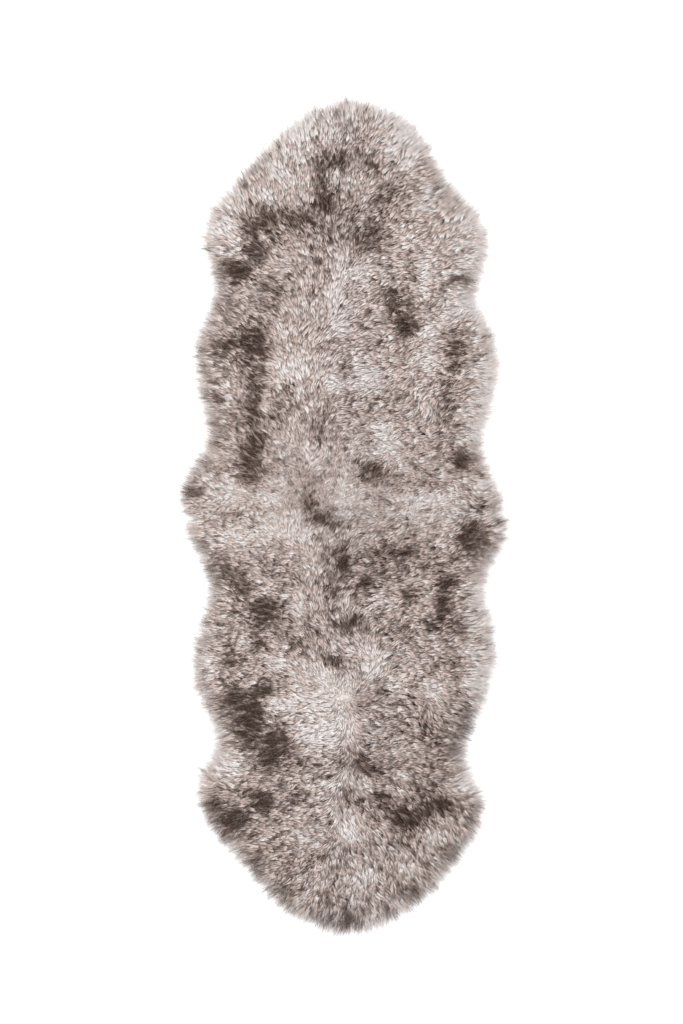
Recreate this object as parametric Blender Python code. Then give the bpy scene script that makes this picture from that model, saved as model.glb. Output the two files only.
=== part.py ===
"""A double sheepskin rug that lies flat on the floor, wool side up.

Metres, +Z up. Two pelts are sewn end to end: their seam lies on Y = 0, +Y is the head end and
-Y the foot end. Each pelt is a tanned hide with its fleece, in an object each because skin and
wool are different materials. A fleece is a lumpy slab of pile that overhangs its hide, and the
wool's ends stand out round its rim as separate locks."""

import math
import random

import bmesh
import bpy
from mathutils import Matrix, Vector, geometry, noise

# ---- Driving sizes, metres ------------------------------------------------------------------
SEAM_GAP = 0.0003  # between the two pelts where they are sewn
CLEARANCE = 0.0003  # between a hide and the fleece round it
HIDE_THICK = 0.002
HIDE_INSET = 0.030  # the wool overhangs its skin by this much
PILE = 0.046  # depth of the combed wool
LUMPS = ((0.110, 0.0045), (0.042, 0.0035))  # unevenness of the pile: (size, rise)
TUFT_PITCH = 0.021  # one clump of wool to the next
TUFT_STRAY = 0.004
TUFT_SHARE = 0.4  # of the clumps stand above the rest
TUFT_RISE = (0.003, 0.009)
TUFT_LEAN = 0.007  # a standing clump's tip leans this far the way the wool lies
RIM_PITCH = 0.0158  # one lock to the next round the rim
LOCK_LENGTH = (0.018, 0.024)
LOCK_STAGES = ((0.55, 0.82), (0.45, 0.52))  # share of the length, size against the stage before
LOCK_COMB = 0.35  # how far a rim lock follows the lie of the wool
LOCK_YAW = math.radians(11)  # strays to either side by up to this
LOCK_DROOP = 0.30  # fall of an upper rim lock over its length
SEAM_SPANS = 26
SPAN_SAMPLES = 12
INSET_STEP = 0.003
POCKET_REACH = 0.010  # how far the cut for a hide runs below the floor and past the seam
SEED = 41

# The wool's edge from above, clockwise from the crown: (feature, x, y)
OUTLINE = (
    ("crown", 0.010, 0.915),
    ("crown, right", 0.110, 0.891),
    ("brow, right", 0.140, 0.866),
    ("cheek, right", 0.178, 0.820),
    ("neck, right", 0.204, 0.760),
    ("neck foot, right", 0.216, 0.733),
    ("shoulder, right", 0.262, 0.692),
    ("foreleg top, right", 0.306, 0.655),
    ("foreleg tip, right", 0.318, 0.610),
    ("foreleg foot, right", 0.310, 0.560),
    ("armpit, right", 0.274, 0.478),
    ("flank top, right", 0.318, 0.412),
    ("flank, right", 0.335, 0.330),
    ("flank foot, right", 0.322, 0.250),
    ("hollow over the waist, right", 0.292, 0.160),
    ("waist lobe top, right", 0.322, 0.082),
    ("waist lobe tip, right", 0.363, -0.020),
    ("waist lobe foot, right", 0.350, -0.058),
    ("waist lobe end, right", 0.312, -0.108),
    ("hollow under the waist, right", 0.298, -0.175),
    ("lower flank top, right", 0.322, -0.240),
    ("lower flank, right", 0.327, -0.305),
    ("lower flank foot, right", 0.306, -0.398),
    ("groin, right", 0.254, -0.520),
    ("hind leg top, right", 0.276, -0.573),
    ("hind leg tip, right", 0.308, -0.628),
    ("hind leg foot, right", 0.299, -0.672),
    ("rump, right", 0.243, -0.753),
    ("rump foot, right", 0.166, -0.841),
    ("tail, right", 0.103, -0.884),
    ("tail", 0.010, -0.915),
    ("tail, left", -0.094, -0.884),
    ("rump foot, left", -0.155, -0.841),
    ("rump, left", -0.212, -0.770),
    ("rump top, left", -0.269, -0.709),
    ("hind leg foot, left", -0.306, -0.663),
    ("hind leg tip, left", -0.325, -0.590),
    ("hind leg top, left", -0.305, -0.545),
    ("groin, left", -0.268, -0.505),
    ("lower flank foot, left", -0.300, -0.430),
    ("lower flank, left", -0.331, -0.345),
    ("lower flank top, left", -0.322, -0.262),
    ("hollow under the waist, left", -0.289, -0.168),
    ("waist lobe end, left", -0.312, -0.100),
    ("waist lobe foot, left", -0.348, -0.035),
    ("waist lobe tip, left", -0.362, 0.040),
    ("waist lobe top, left", -0.348, 0.092),
    ("waist lobe start, left", -0.315, 0.125),
    ("hollow over the waist, left", -0.295, 0.180),
    ("flank foot, left", -0.312, 0.260),
    ("flank, left", -0.329, 0.340),
    ("flank top, left", -0.308, 0.420),
    ("armpit, left", -0.276, 0.495),
    ("foreleg foot, left", -0.300, 0.570),
    ("foreleg tip, left", -0.312, 0.625),
    ("foreleg top, left", -0.290, 0.680),
    ("shoulder, left", -0.234, 0.737),
    ("cheek, left", -0.192, 0.785),
    ("brow, left", -0.136, 0.847),
    ("crown, left", -0.070, 0.891),
)

# Section of a fleece, floor upward: (level, inset from the wool's edge, share of the pile's depth)
SECTION = (
    ("floor", 0.022, 0.0),
    ("bulge", 0.016, 0.33),
    ("shoulder", 0.024, 0.70),
    ("top", 0.042, 0.93),
)

# The lie of the wool by row: (y, degrees at the left edge, on the spine, at the right edge),
# where 0 points to +X and 90 to +Y
LIE = (
    (0.90, 112, 80, 48),
    (0.72, 108, 80, 46),
    (0.58, 128, 94, 38),
    (0.45, 140, 95, 22),
    (0.32, 145, 100, 12),
    (0.15, 143, 40, 10),
    (-0.01, 148, 5, 10),
    (-0.18, 165, 14, 4),
    (-0.34, 185, 60, -8),
    (-0.50, 192, 0, -22),
    (-0.68, 205, -20, -45),
    (-0.80, 222, -70, -62),
    (-0.90, 240, -90, -68),
)

# Valleys where the wool parts: (place, x, y, reach along X, reach along Y, depth)
PARTINGS = (
    ("seam", 0.000, 0.000, 2.000, 0.016, 0.013),
    ("whorl of the foot end", -0.022, -0.378, 0.034, 0.016, 0.012),
    ("cowlick left of the whorl", -0.110, -0.400, 0.050, 0.014, 0.008),
    ("cowlick right of the whorl", 0.066, -0.312, 0.026, 0.026, 0.009),
    ("cowlick of the head end", -0.010, 0.300, 0.040, 0.018, 0.010),
    ("parting of the left flank", -0.108, 0.322, 0.030, 0.016, 0.007),
    ("saddle of the spine", -0.006, 0.455, 0.020, 0.085, 0.006),
    ("groin crease, left", -0.190, -0.480, 0.050, 0.020, 0.009),
    ("groin crease, right", 0.190, -0.500, 0.050, 0.020, 0.008),
    ("armpit crease, left", -0.215, 0.500, 0.040, 0.018, 0.008),
    ("armpit crease, right", 0.215, 0.480, 0.040, 0.018, 0.008),
)


# ---- Plan of the pelts ----------------------------------------------------------------------
def rounded(corners):
    """A closed Catmull-Rom curve through the corners."""
    curve = []
    for i in range(len(corners)):
        before, start, end, after = (Vector(corners[(i + k) % len(corners)]) for k in (-1, 0, 1, 2))
        for step in range(SPAN_SAMPLES):
            t = step / SPAN_SAMPLES
            rise = (end - before) * t
            bend = (2 * before - 5 * start + 4 * end - after) * t**2
            twist = (3 * start - before - 3 * end + after) * t**3
            curve.append(start + (rise + bend + twist) / 2)
    return curve


def spaced(chain, count):
    """The same open chain as a number of points, evenly spaced along it."""
    reach = [0.0]
    for a, b in zip(chain, chain[1:]):
        reach.append(reach[-1] + (b - a).length)
    points, span = [], 0
    for k in range(count):
        goal = reach[-1] * k / (count - 1)
        while span < len(chain) - 2 and reach[span + 1] < goal:
            span += 1
        share = (goal - reach[span]) / (reach[span + 1] - reach[span])
        points.append(chain[span].lerp(chain[span + 1], share))
    return points


def pelt_edge(end):
    """The wool's edge of one pelt, clockwise from seam to seam; end is 1 for the head, -1 the foot."""
    loop = rounded([(x, y) for _, x, y in OUTLINE])
    seam = SEAM_GAP / 2
    first = next(i for i in range(len(loop)) if loop[i - 1].y * end < seam <= loop[i].y * end)
    loop = loop[first - 1 :] + loop[: first - 1]
    last = next(i for i in range(1, len(loop)) if loop[i].y * end < seam)
    chain = loop[: last + 1]
    for tip, inner in ((0, 1), (-1, -2)):
        share = (seam * end - chain[inner].y) / (chain[tip].y - chain[inner].y)
        chain[tip] = chain[inner].lerp(chain[tip], share)
    length = sum((b - a).length for a, b in zip(chain, chain[1:]))
    return spaced(chain, round(length / RIM_PITCH) + 1)


def inward(chain, i):
    """The unit direction into the pelt at a point of its clockwise edge."""
    along = chain[min(i + 1, len(chain) - 1)] - chain[max(i - 1, 0)]
    return Vector((along.y, -along.x)).normalized()


def inset(chain, distance):
    """The edge moved inward in short, smoothed steps; its two ends slide along the seam."""
    steps = max(1, round(distance / INSET_STEP))
    seam_side = (chain[-1] - chain[0]).normalized()
    for _ in range(steps):
        step = distance / steps
        moved = [p + inward(chain, i) * step for i, p in enumerate(chain)]
        moved[0] = chain[0] + seam_side * step
        moved[-1] = chain[-1] - seam_side * step
        eased = [(a + 2 * b + c) / 4 for a, b, c in zip(moved, moved[1:], moved[2:])]
        chain = spaced([moved[0], *eased, moved[-1]], len(chain))
    return chain


def closed_loop(chain):
    """An edge with its seam side added, divided evenly."""
    seam = [chain[-1].lerp(chain[0], k / SEAM_SPANS) for k in range(1, SEAM_SPANS)]
    return chain + seam


# ---- Form of the wool -----------------------------------------------------------------------
def lie_of_wool(x, y):
    """Unit direction in which the wool lies, across a row and between the rows of LIE."""
    for upper, lower in zip(LIE, LIE[1:]):
        if y >= lower[0]:
            break
    share = min(1.0, max(0.0, (upper[0] - y) / (upper[0] - lower[0])))
    left, spine, right = (math.radians(a + (b - a) * share) for a, b in zip(upper[1:], lower[1:]))
    across = min(1.0, abs(x) / 0.16)
    angle = spine + ((left if x < 0 else right) - spine) * across
    return Vector((math.cos(angle), math.sin(angle)))


def pile_depth(x, y):
    """Height of the combed wool over the floor."""
    height = PILE + sum(rise * noise.noise(Vector((x, y, size)) / size) for size, rise in LUMPS)
    for _, px, py, reach_x, reach_y, depth in PARTINGS:
        height -= depth * math.exp(-(((x - px) / reach_x) ** 2) - ((y - py) / reach_y) ** 2)
    return height


def is_inside(point, loop):
    """Whether a point lies within a closed loop."""
    inside = False
    for a, b in zip(loop, loop[1:] + loop[:1]):
        if (a.y > point.y) != (b.y > point.y):
            if point.x < a.x + (point.y - a.y) * (b.x - a.x) / (b.y - a.y):
                inside = not inside
    return inside


def tufts(loop, rng):
    """Clumps of wool on a loose staggered grid inside a loop; some stand up and lean."""
    points = []
    row_pitch = TUFT_PITCH * math.sqrt(3) / 2
    low = min(p.y for p in loop)
    rows = math.ceil((max(p.y for p in loop) - low) / row_pitch)
    reach = math.ceil(max(abs(p.x) for p in loop) / TUFT_PITCH)
    for row in range(rows):
        for column in range(-reach, reach + 1):
            x = (column + (row % 2) / 2) * TUFT_PITCH
            y = low + row * row_pitch
            spot = Vector((x + rng.gauss(0, TUFT_STRAY), y + rng.gauss(0, TUFT_STRAY)))
            stands = rng.random() < TUFT_SHARE
            if stands:
                spot += lie_of_wool(*spot) * TUFT_LEAN
            if is_inside(spot, loop) and min((spot - p).length for p in loop) > TUFT_PITCH / 2:
                rise = rng.uniform(*TUFT_RISE) if stands else 0
                points.append(Vector((*spot, pile_depth(*spot) + rise)))
    return points


def grow_lock(bm, face, direction, length, droop, on_floor):
    """Draws one face of the rim out into a tapered lock; one on the floor lies level on it."""
    for share, size in LOCK_STAGES:
        made = bmesh.ops.extrude_discrete_faces(bm, faces=[face])
        face = made["faces"][0]
        centre = face.calc_center_median()
        travel = Vector((*(direction * length * share), -droop * length * share))
        for vert in face.verts:
            vert.co = centre + (vert.co - centre) * size + travel
        if on_floor:
            lowest = min(vert.co.z for vert in face.verts)
            for vert in face.verts:
                vert.co.z = max(0.0, vert.co.z - lowest)


def grow_rim_locks(bm, walls, chain, rng):
    """One lock to each span of the rim, from its lower and its upper wall in turn."""
    spans = len(chain) - 1
    for i in range(spans):
        upper = i % 2
        middle = (chain[i] + chain[i + 1]) / 2
        outward = -(inward(chain, i) + inward(chain, i + 1)).normalized()
        direction = outward + lie_of_wool(*middle) * LOCK_COMB
        direction = Matrix.Rotation(rng.uniform(-LOCK_YAW, LOCK_YAW), 2) @ direction
        if i in (0, spans - 1):  # beside the seam a lock keeps to its own pelt
            direction = Vector((middle.x, 0))
        length = rng.uniform(*LOCK_LENGTH)
        grow_lock(bm, walls[upper][i], direction.normalized(), length, LOCK_DROOP * upper, not upper)


# ---- Objects --------------------------------------------------------------------------------
def clear_scene():
    for obj in list(bpy.data.objects):
        bpy.data.objects.remove(obj, do_unlink=True)


def collection(name):
    made = bpy.data.collections.new(name)
    bpy.context.scene.collection.children.link(made)
    return made


def material(name, colour, roughness):
    made = bpy.data.materials.new(name)
    made.use_nodes = True
    shader = made.node_tree.nodes["Principled BSDF"]
    shader.inputs["Base Color"].default_value = (*colour, 1)
    shader.inputs["Roughness"].default_value = roughness
    shader.inputs["Metallic"].default_value = 0
    return made


def flat_piece(name, outline, low, high, home):
    """A flat plate with this outline, between two heights."""
    curve = bpy.data.curves.new(name, "CURVE")
    curve.dimensions = "2D"
    curve.fill_mode = "BOTH"
    curve.extrude = (high - low) / 2
    spline = curve.splines.new("POLY")
    spline.points.add(len(outline) - 1)
    for point, spot in zip(spline.points, outline):
        point.co = (spot.x, spot.y, 0, 1)
    spline.use_cyclic_u = True
    drawn = bpy.data.objects.new(name + "_curve", curve)
    mesh = bpy.data.meshes.new_from_object(drawn)
    mesh.name = name
    bm = bmesh.new()
    bm.from_mesh(mesh)
    bmesh.ops.remove_doubles(bm, verts=bm.verts, dist=1e-5)
    bm.to_mesh(mesh)
    bm.free()
    bpy.data.objects.remove(drawn)
    bpy.data.curves.remove(curve)
    obj = bpy.data.objects.new(name, mesh)
    obj.location.z = (low + high) / 2
    home.objects.link(obj)
    return obj


def hide(name, edge, skin, home):
    """The tanned skin of a pelt, in from the wool's edge and cut straight at the seam."""
    obj = flat_piece(name, closed_loop(inset(edge, HIDE_INSET)), 0, HIDE_THICK, home)
    obj.data.materials.append(skin)
    return obj


def pocket(name, edge, end, home):
    """The cutter that leaves room for a hide under its fleece, open at the seam."""
    chain = inset(edge, HIDE_INSET - CLEARANCE)
    beyond = Vector((0, -end * POCKET_REACH))
    outline = chain + [chain[-1] + beyond, chain[0] + beyond]
    obj = flat_piece(name, outline, -POCKET_REACH, HIDE_THICK + CLEARANCE, home)
    obj.hide_render = True
    obj.display_type = "WIRE"
    return obj


def fleece(name, edge, cutter, wool, home, rng):
    """The wool of a pelt: rings from the floor up, a tufted top and locks round the rim."""
    bm = bmesh.new()
    chains = [inset(edge, distance) for _, distance, _ in SECTION]
    rings = []
    for chain, (_, _, share) in zip(chains, SECTION):
        loop = closed_loop(chain)
        rings.append([bm.verts.new((p.x, p.y, share * pile_depth(p.x, p.y))) for p in loop])
    walls = []
    for lower, upper in zip(rings, rings[1:]):
        after_lower, after_upper = lower[1:] + lower[:1], upper[1:] + upper[:1]
        walls.append([bm.faces.new(quad) for quad in zip(lower, upper, after_upper, after_lower)])
    bm.faces.new(rings[0])

    rim = [vert.co.xy for vert in rings[-1]]
    inner = tufts(rim, rng)
    plan = rim + [Vector((p.x, p.y)) for p in inner]
    verts = rings[-1] + [bm.verts.new(p) for p in inner]
    _, _, triangles, sources, _, _ = geometry.delaunay_2d_cdt(plan, [], [list(range(len(rim)))], 1, 1e-6)
    for triangle in triangles:
        bm.faces.new([verts[sources[k][0]] for k in triangle])

    grow_rim_locks(bm, walls, chains[0], rng)
    bmesh.ops.recalc_face_normals(bm, faces=bm.faces)
    mesh = bpy.data.meshes.new(name)
    bm.to_mesh(mesh)
    bm.free()
    obj = bpy.data.objects.new(name, mesh)
    obj.data.materials.append(wool)
    home.objects.link(obj)
    cut = obj.modifiers.new("Room for the hide", "BOOLEAN")
    cut.operation = "DIFFERENCE"
    cut.solver = "EXACT"
    cut.object = cutter
    return obj


def main():
    clear_scene()
    parts = collection("Double sheepskin rug")
    cutters = collection("Cutters")
    skin = material("sheepskin_suede", (0.62, 0.50, 0.37), 0.85)
    wool = material("sheepskin_wool", (0.37, 0.31, 0.29), 0.95)
    rug = bpy.data.objects.new("double_sheepskin_rug", None)
    parts.objects.link(rug)
    for number, (name, end) in enumerate((("head_end", 1), ("foot_end", -1))):
        edge = pelt_edge(end)
        cutter = pocket("room_for_hide_" + name, edge, end, cutters)
        hide("hide_" + name, edge, skin, parts).parent = rug
        fleece("fleece_" + name, edge, cutter, wool, parts, random.Random(SEED + number)).parent = rug


main()
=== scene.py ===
"""The looks of a double sheepskin rug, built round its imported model.

Every lock of wool is modelled. Each pelt gets a ground of matted underwool in the place of its
plain solid, and Geometry Nodes grow the locks out of that ground: fine short wool, long locks
over it and the looser wool of the rim. The ground carries the lie of the wool, its tone and its
cover as attributes, which the locks read. Metres, +Z up, +Y towards the head end."""

import math

import bmesh
import bpy
import numpy as np
from mathutils import Matrix, Vector, noise
from mathutils.bvhtree import BVHTree


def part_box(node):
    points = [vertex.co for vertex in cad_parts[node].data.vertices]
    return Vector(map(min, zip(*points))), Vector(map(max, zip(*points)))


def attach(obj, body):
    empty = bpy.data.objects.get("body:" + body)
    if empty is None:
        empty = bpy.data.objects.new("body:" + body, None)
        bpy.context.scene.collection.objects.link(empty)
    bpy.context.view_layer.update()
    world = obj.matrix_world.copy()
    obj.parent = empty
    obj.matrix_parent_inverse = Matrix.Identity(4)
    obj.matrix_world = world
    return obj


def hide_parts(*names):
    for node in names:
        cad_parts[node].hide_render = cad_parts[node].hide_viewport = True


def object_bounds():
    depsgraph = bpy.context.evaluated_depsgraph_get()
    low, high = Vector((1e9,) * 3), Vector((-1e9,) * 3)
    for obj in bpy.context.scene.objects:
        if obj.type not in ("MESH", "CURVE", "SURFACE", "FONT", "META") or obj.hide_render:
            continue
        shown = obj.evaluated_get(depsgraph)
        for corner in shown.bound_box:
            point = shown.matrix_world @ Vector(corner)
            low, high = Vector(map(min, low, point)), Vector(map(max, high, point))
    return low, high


bl_info = {
    "name": "Double Sheepskin Rug",
    "version": (1, 0, 0),
    "blender": (4, 5, 0),
    "location": "View3D > Sidebar > Sheepskin",
    "description": "Grows the wool of a double sheepskin rug on its packed model",
    "category": "Object",
}

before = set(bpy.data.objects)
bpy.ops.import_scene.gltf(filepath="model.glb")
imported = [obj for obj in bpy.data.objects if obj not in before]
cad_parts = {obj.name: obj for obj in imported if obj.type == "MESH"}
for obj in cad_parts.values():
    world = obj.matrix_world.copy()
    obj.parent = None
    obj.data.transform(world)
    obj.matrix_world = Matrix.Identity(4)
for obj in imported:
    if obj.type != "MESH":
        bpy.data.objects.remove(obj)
CAD_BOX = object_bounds()
PELTS = {"head_end": 1, "foot_end": -1}  # a pelt's name and the side of the seam it is on
BODY = "root"

PHOTO_SIZE = (683, 1024)
PHOTO_CENTRE = (345.0, 516.5)  # the pixel that shows the middle of the rug
PIXEL = 0.00219  # metres on the rug to a pixel of the photograph

# The wool's edge from above, clockwise from the crown: (feature, x, y)
OUTLINE = (
    ("crown", 0.010, 0.915),
    ("crown, right", 0.110, 0.891),
    ("brow, right", 0.140, 0.866),
    ("cheek, right", 0.178, 0.820),
    ("neck, right", 0.204, 0.760),
    ("neck foot, right", 0.216, 0.733),
    ("shoulder, right", 0.262, 0.692),
    ("foreleg top, right", 0.306, 0.655),
    ("foreleg tip, right", 0.318, 0.610),
    ("foreleg foot, right", 0.310, 0.560),
    ("armpit, right", 0.274, 0.478),
    ("flank top, right", 0.318, 0.412),
    ("flank, right", 0.335, 0.330),
    ("flank foot, right", 0.322, 0.250),
    ("hollow over the waist, right", 0.292, 0.160),
    ("waist lobe top, right", 0.322, 0.082),
    ("waist lobe tip, right", 0.363, -0.020),
    ("waist lobe foot, right", 0.350, -0.058),
    ("waist lobe end, right", 0.312, -0.108),
    ("hollow under the waist, right", 0.298, -0.175),
    ("lower flank top, right", 0.322, -0.240),
    ("lower flank, right", 0.327, -0.305),
    ("lower flank foot, right", 0.306, -0.398),
    ("groin, right", 0.254, -0.520),
    ("hind leg top, right", 0.276, -0.573),
    ("hind leg tip, right", 0.308, -0.628),
    ("hind leg foot, right", 0.299, -0.672),
    ("rump, right", 0.243, -0.753),
    ("rump foot, right", 0.166, -0.841),
    ("tail, right", 0.103, -0.884),
    ("tail", 0.010, -0.915),
    ("tail, left", -0.094, -0.884),
    ("rump foot, left", -0.155, -0.841),
    ("rump, left", -0.212, -0.770),
    ("rump top, left", -0.269, -0.709),
    ("hind leg foot, left", -0.306, -0.663),
    ("hind leg tip, left", -0.325, -0.590),
    ("hind leg top, left", -0.305, -0.545),
    ("groin, left", -0.268, -0.505),
    ("lower flank foot, left", -0.300, -0.430),
    ("lower flank, left", -0.331, -0.345),
    ("lower flank top, left", -0.322, -0.262),
    ("hollow under the waist, left", -0.289, -0.168),
    ("waist lobe end, left", -0.312, -0.100),
    ("waist lobe foot, left", -0.348, -0.035),
    ("waist lobe tip, left", -0.362, 0.040),
    ("waist lobe top, left", -0.348, 0.092),
    ("waist lobe start, left", -0.315, 0.125),
    ("hollow over the waist, left", -0.295, 0.180),
    ("flank foot, left", -0.312, 0.260),
    ("flank, left", -0.329, 0.340),
    ("flank top, left", -0.308, 0.420),
    ("armpit, left", -0.276, 0.495),
    ("foreleg foot, left", -0.300, 0.570),
    ("foreleg tip, left", -0.312, 0.625),
    ("foreleg top, left", -0.290, 0.680),
    ("shoulder, left", -0.234, 0.737),
    ("cheek, left", -0.192, 0.785),
    ("brow, left", -0.136, 0.847),
    ("crown, left", -0.070, 0.891),
)
SPAN_SAMPLES = 6

# The lie of the wool by row: (y, x of the line that the wool parts on, degrees at the left, on
# that line, at the right, from the line out to where a side's own lie is complete), where 0
# points to +X and 90 to +Y
LIE = (
    (0.92, -0.02, 84, 80, 52, 0.16),
    (0.72, -0.03, 102, 90, 38, 0.14),
    (0.63, -0.03, 128, 92, 28, 0.12),
    (0.54, -0.04, 148, 92, 10, 0.11),
    (0.45, -0.07, 155, 96, 8, 0.10),
    (0.36, -0.09, 150, 95, 12, 0.08),
    (0.28, -0.09, 146, 92, 12, 0.08),
    (0.20, -0.07, 142, 80, 8, 0.10),
    (0.10, -0.05, 148, 60, 8, 0.12),
    (-0.01, -0.04, 150, 60, 10, 0.12),
    (-0.10, -0.05, 172, 90, 3, 0.08),
    (-0.18, -0.04, 174, 100, 4, 0.09),
    (-0.25, -0.02, 175, 112, 4, 0.11),
    (-0.31, 0.00, 173, 112, 2, 0.10),
    (-0.35, 0.00, 176, 90, 2, 0.10),
    (-0.38, 0.00, 180, 85, 2, 0.05),
    (-0.41, 0.00, 184, -90, 0, 0.03),
    (-0.50, 0.01, 184, -80, -6, 0.03),
    (-0.58, 0.01, 183, -70, -20, 0.04),
    (-0.64, 0.00, 190, -60, -46, 0.05),
    (-0.72, 0.00, 195, -60, -55, 0.06),
    (-0.79, -0.01, 208, -80, -62, 0.09),
    (-0.86, 0.00, 232, -90, -66, 0.12),
    (-0.93, 0.00, 240, -90, -68, 0.16),
)

# Places where the lie is less settled: (place, x, y, reach along X, reach along Y, share added)
LOOSE = (
    ("waist", -0.020, 0.050, 0.220, 0.090, 1.0),
    ("curl over the right flank", 0.190, 0.180, 0.070, 0.070, 0.8),
    ("loin", -0.060, -0.130, 0.070, 0.060, 0.6),
    ("whorl", 0.040, -0.300, 0.090, 0.060, 0.5),
    ("rump", 0.080, -0.570, 0.090, 0.060, 0.6),
    ("tail", 0.000, -0.800, 0.090, 0.060, 0.5),
    ("brow", 0.020, 0.660, 0.080, 0.050, 0.4),
)

# Places where the wool stands up: (place, x, y, reach along X, reach along Y, share of its lean
# left)
STANDING = (
    ("whorl", 0.000, -0.398, 0.028, 0.028, 0.60),
    ("tuft on the spine", -0.012, 0.300, 0.022, 0.022, 0.60),
    ("spot on the back", 0.062, 0.300, 0.020, 0.020, 0.60),
    ("waist", -0.015, 0.045, 0.240, 0.120, 0.56),
)
STAND_COVER = 0.5  # how much thicker upright wool grows
STAND_WIDTH = 0.3  # width of an upright lock against one that lies flat
RIM_REACH = 0.050  # how far in from the edge the wool turns outward
RIM_TURN = 1.5  # how strongly it turns

# Places where the wool turns out of its row's lie: (place, x, y, reach, degrees)
WHORLS = (
    ("curl over the right flank", 0.186, 0.211, 0.035, 95),
    ("curl on the right waist lobe", 0.270, 0.060, 0.040, -50),
    ("curl under the saddle", -0.090, 0.140, 0.040, 40),
    ("whorl of the foot end", -0.060, -0.330, 0.050, -50),
    ("curl right of the whorl", 0.062, -0.310, 0.040, 60),
    ("curl over the right groin", 0.180, -0.440, 0.045, -60),
    ("curl on the left lobe", -0.300, 0.060, 0.045, 30),
)

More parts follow.
